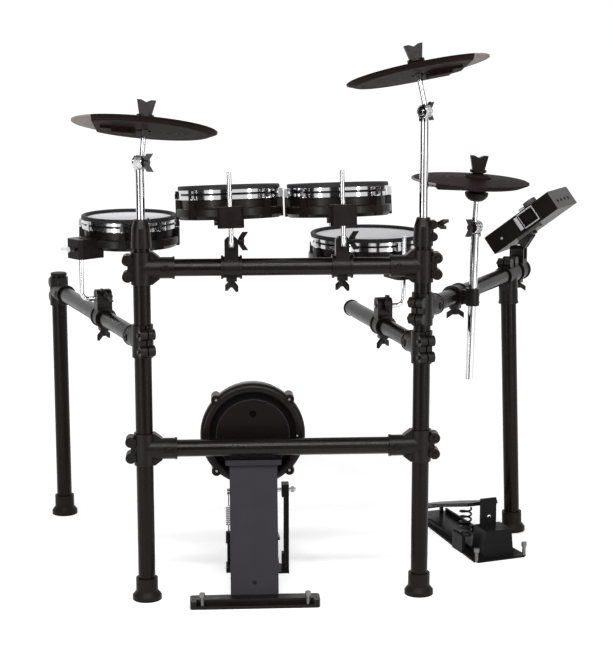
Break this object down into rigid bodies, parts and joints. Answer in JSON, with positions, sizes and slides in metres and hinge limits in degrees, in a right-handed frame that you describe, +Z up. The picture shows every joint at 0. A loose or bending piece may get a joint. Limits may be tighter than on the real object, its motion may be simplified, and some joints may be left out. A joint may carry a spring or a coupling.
{
  "type": "electronic drum kit",
  "caption": "Electronic drum kit: tube rack with mesh drum pads on rods, rubber cymbal pads on tilting arms, kick tower with pedal, hi-hat pedal and sound module.",
  "frame": {"origin": "on the floor under the middle of the kick tower's base bar", "axes": "+X to the right seen from the audience, +Y towards the player, +Z up"},
  "size_m": [1.3447, 0.8572, 1.2324],
  "materials": {
    "tube_black": "satin powder coat",
    "clamp_black": "fine grained",
    "rubber_black": "matte",
    "chrome": "polished",
    "rubber_rim": "matte",
    "mesh_white": "woven mesh",
    "shell_black": "satin",
    "cymbal_rubber": "matte with fine rings",
    "spring_steel": "bright",
    "pedal_metal": "satin",
    "strap": "woven",
    "felt": "felt",
    "module_black": "fine grained",
    "module_grey": "smooth",
    "plastic_black": "satin"
  },
  "bodies": {
    "rack": {"rack_uprights": "tube_black", "rack_bars": "tube_black", "feet_and_caps": "rubber_black", "tee_clamps": "clamp_black", "clamp_bolts": "chrome", "post_collars": "clamp_black", "mount_clamps": "clamp_black", "kick_tower_plate": "pedal_metal", "kick_tower_base": "pedal_metal", "floor_spurs": "chrome", "kick_shell": "shell_black", "kick_hoop": "chrome", "kick_head": "mesh_white", "kick_pedal_frame": "pedal_metal", "kick_spring": "spring_steel", "hihat_pedal_base": "pedal_metal", "hihat_spring": "spring_steel"},
    "kick_footboard": {"kick_footboard": "pedal_metal", "kick_strap": "strap"},
    "kick_axle": {"kick_axle": "pedal_metal", "kick_beater": "felt"},
    "hihat_footboard": {"hihat_footboard": "pedal_metal"},
    "tom_1_rod": {"tom_1_rod": "chrome"},
    "tom_1_pad": {"tom_1_shell": "shell_black", "tom_1_hoop": "chrome", "tom_1_rim": "rubber_rim", "tom_1_head": "mesh_white"},
    "tom_2_rod": {"tom_2_rod": "chrome"},
    "tom_2_pad": {"tom_2_shell": "shell_black", "tom_2_hoop": "chrome", "tom_2_rim": "rubber_rim", "tom_2_head": "mesh_white"},
    "floor_tom_rod": {"floor_tom_rod": "chrome"},
    "floor_tom_pad": {"floor_tom_shell": "shell_black", "floor_tom_hoop": "chrome", "floor_tom_rim": "rubber_rim", "floor_tom_head": "mesh_white"},
    "snare_rod": {"snare_rod": "chrome"},
    "snare_pad": {"snare_shell": "shell_black", "snare_hoop": "chrome", "snare_rim": "rubber_rim", "snare_head": "mesh_white"},
    "ride_arm": {"ride_arm": "chrome"},
    "ride_tilter": {"ride_tilter": "chrome"},
    "ride_cymbal": {"ride_cymbal": "cymbal_rubber"},
    "ride_nut": {"ride_nut": "plastic_black"},
    "crash_arm": {"crash_arm": "chrome"},
    "crash_tilter": {"crash_tilter": "chrome"},
    "crash_cymbal": {"crash_cymbal": "cymbal_rubber"},
    "crash_nut": {"crash_nut": "plastic_black"},
    "hihat_arm": {"hihat_arm": "chrome"},
    "hihat_tilter": {"hihat_tilter": "chrome"},
    "hihat_cymbal": {"hihat_cymbal": "cymbal_rubber"},
    "hihat_nut": {"hihat_nut": "plastic_black"},
    "module": {"module_case": "module_black", "module_bracket": "module_black"},
    "module_dial": {"module_dial": "module_grey"},
    "module_key_1": {"module_key_1": "module_grey"},
    "module_key_2": {"module_key_2": "module_grey"},
    "module_key_3": {"module_key_3": "module_grey"}
  },
  "joints": [
    {"name": "kick_pedal_press", "type": "hinge", "parent": "rack", "child": "kick_footboard", "pos_m": [0.022, 0.4965, 0.027], "axis": [1, 0, 0], "range_deg": [0, 7.5], "stiffness_Nm_per_rad": 20, "springref_deg": -14.32, "deforming": ["kick_spring"]},
    {"name": "kick_axle_turn", "type": "hinge", "parent": "rack", "child": "kick_axle", "pos_m": [0.022, 0.2345, 0.198], "axis": [1, 0, 0], "range_deg": [0, 51.5]},
    {"name": "hihat_pedal_press", "type": "hinge", "parent": "rack", "child": "hihat_footboard", "pos_m": [0.47786, 0.65291, 0.026], "axis": [0.9511, 0.309, 0], "range_deg": [0, 8.5], "stiffness_Nm_per_rad": 20, "springref_deg": -14.32, "deforming": ["hihat_spring"]},
    {"name": "tom_1_turn", "type": "hinge", "parent": "rack", "child": "tom_1_rod", "pos_m": [-0.0455, 0.01414, 0.80158], "axis": [0, 0.9954, -0.0958], "range_deg": [-10, 0]},
    {"name": "tom_1_height", "type": "slide", "parent": "tom_1_rod", "child": "tom_1_pad", "axis": [-0.0279, 0.0958, 0.995], "range_m": [-0.008, 0.02]},
    {"name": "tom_2_turn", "type": "hinge", "parent": "rack", "child": "tom_2_rod", "pos_m": [0.196, 0.01414, 0.80158], "axis": [0, 0.9954, -0.0958], "range_deg": [0, 10]},
    {"name": "tom_2_height", "type": "slide", "parent": "tom_2_rod", "child": "tom_2_pad", "axis": [-0.0244, 0.0958, 0.9951], "range_m": [-0.008, 0.02]},
    {"name": "floor_tom_turn", "type": "hinge", "parent": "rack", "child": "floor_tom_rod", "pos_m": [-0.39025, 0.33325, 0.636], "axis": [0.9429, 0.3331, 0], "range_deg": [-8, 12]},
    {"name": "floor_tom_height", "type": "slide", "parent": "floor_tom_rod", "child": "floor_tom_pad", "axis": [0, 0, 1], "range_m": [-0.04, 0.03]},
    {"name": "snare_turn", "type": "hinge", "parent": "rack", "child": "snare_rod", "pos_m": [0.36118, 0.32894, 0.616], "axis": [-0.974, -0.2265, 0], "range_deg": [-8, 8]},
    {"name": "snare_height", "type": "slide", "parent": "snare_rod", "child": "snare_pad", "axis": [0, 0, 1], "range_m": [-0.03, 0.03]},
    {"name": "ride_arm_height", "type": "slide", "parent": "rack", "child": "ride_arm", "axis": [0, 0, 1], "range_m": [-0.03, 0.06]},
    {"name": "ride_tilt", "type": "hinge", "parent": "ride_arm", "child": "ride_tilter", "pos_m": [-0.2405, 0.0595, 0.98], "axis": [0.9164, -0.4003, 0], "range_deg": [-15, 15]},
    {"name": "ride_rock", "type": "hinge", "parent": "ride_tilter", "child": "ride_cymbal", "pos_m": [-0.22953, 0.073, 1.05262], "axis": [0.9959, -0.0186, -0.0881], "range_deg": [-6, 6], "stiffness_Nm_per_rad": 14},
    {"name": "ride_nut_spin", "type": "hinge", "parent": "ride_tilter", "child": "ride_nut", "pos_m": [-0.22953, 0.073, 1.05262], "axis": [0.0901, 0.2061, 0.9744], "continuous": true},
    {"name": "crash_arm_height", "type": "slide", "parent": "rack", "child": "crash_arm", "axis": [0, 0, 1], "range_m": [-0.06, 0.06]},
    {"name": "crash_tilt", "type": "hinge", "parent": "crash_arm", "child": "crash_tilter", "pos_m": [0.3725, 0.0595, 1.086], "axis": [0.673, 0.7396, 0], "range_deg": [-15, 15]},
    {"name": "crash_rock", "type": "hinge", "parent": "crash_tilter", "child": "crash_cymbal", "pos_m": [0.3595, 0.07762, 1.16973], "axis": [0.9825, 0.0322, 0.1836], "range_deg": [-6, 6], "stiffness_Nm_per_rad": 14},
    {"name": "crash_nut_spin", "type": "hinge", "parent": "crash_tilter", "child": "crash_nut", "pos_m": [0.3595, 0.07762, 1.16973], "axis": [-0.1864, 0.1696, 0.9677], "continuous": true},
    {"name": "hihat_arm_height", "type": "slide", "parent": "rack", "child": "hihat_arm", "axis": [0.0251, 0, 0.9997], "range_m": [-0.05, 0.06]},
    {"name": "hihat_tilt", "type": "hinge", "parent": "hihat_arm", "child": "hihat_tilter", "pos_m": [0.51034, 0.20742, 0.81495], "axis": [-0.7658, -0.6428, 0.0193], "range_deg": [-15, 15]},
    {"name": "hihat_rock", "type": "hinge", "parent": "hihat_tilter", "child": "hihat_cymbal", "pos_m": [0.5117, 0.20167, 0.91841], "axis": [0.9989, 0.0013, -0.0475], "range_deg": [-6, 6], "stiffness_Nm_per_rad": 14},
    {"name": "hihat_nut_spin", "type": "hinge", "parent": "hihat_tilter", "child": "hihat_nut", "pos_m": [0.5117, 0.20167, 0.91841], "axis": [0.0475, -0.0267, 0.9985], "continuous": true},
    {"name": "module_tilt", "type": "hinge", "parent": "rack", "child": "module", "pos_m": [0.67902, 0.59083, 0.701], "axis": [0.4997, 0.8662, 0], "range_deg": [-10, 10]},
    {"name": "module_dial_spin", "type": "hinge", "parent": "module", "child": "module_dial", "pos_m": [0.7064, 0.57972, 0.82071], "axis": [-0.5194, 0.3094, 0.7965], "continuous": true},
    {"name": "module_key_1_press", "type": "slide", "parent": "module", "child": "module_key_1", "axis": [0.5194, -0.3094, -0.7965], "range_m": [0, 0.0012], "stiffness_N_per_m": 400, "springref_m": -0.001},
    {"name": "module_key_2_press", "type": "slide", "parent": "module", "child": "module_key_2", "axis": [0.5194, -0.3094, -0.7965], "range_m": [0, 0.0012], "stiffness_N_per_m": 400, "springref_m": -0.001},
    {"name": "module_key_3_press", "type": "slide", "parent": "module", "child": "module_key_3", "axis": [0.5194, -0.3094, -0.7965], "range_m": [0, 0.0012], "stiffness_N_per_m": 400, "springref_m": -0.001}
  ],
  "couplings": [
    {"joint": "kick_axle_turn", "follows": "kick_pedal_press", "ratio": 6.85}
  ]
}
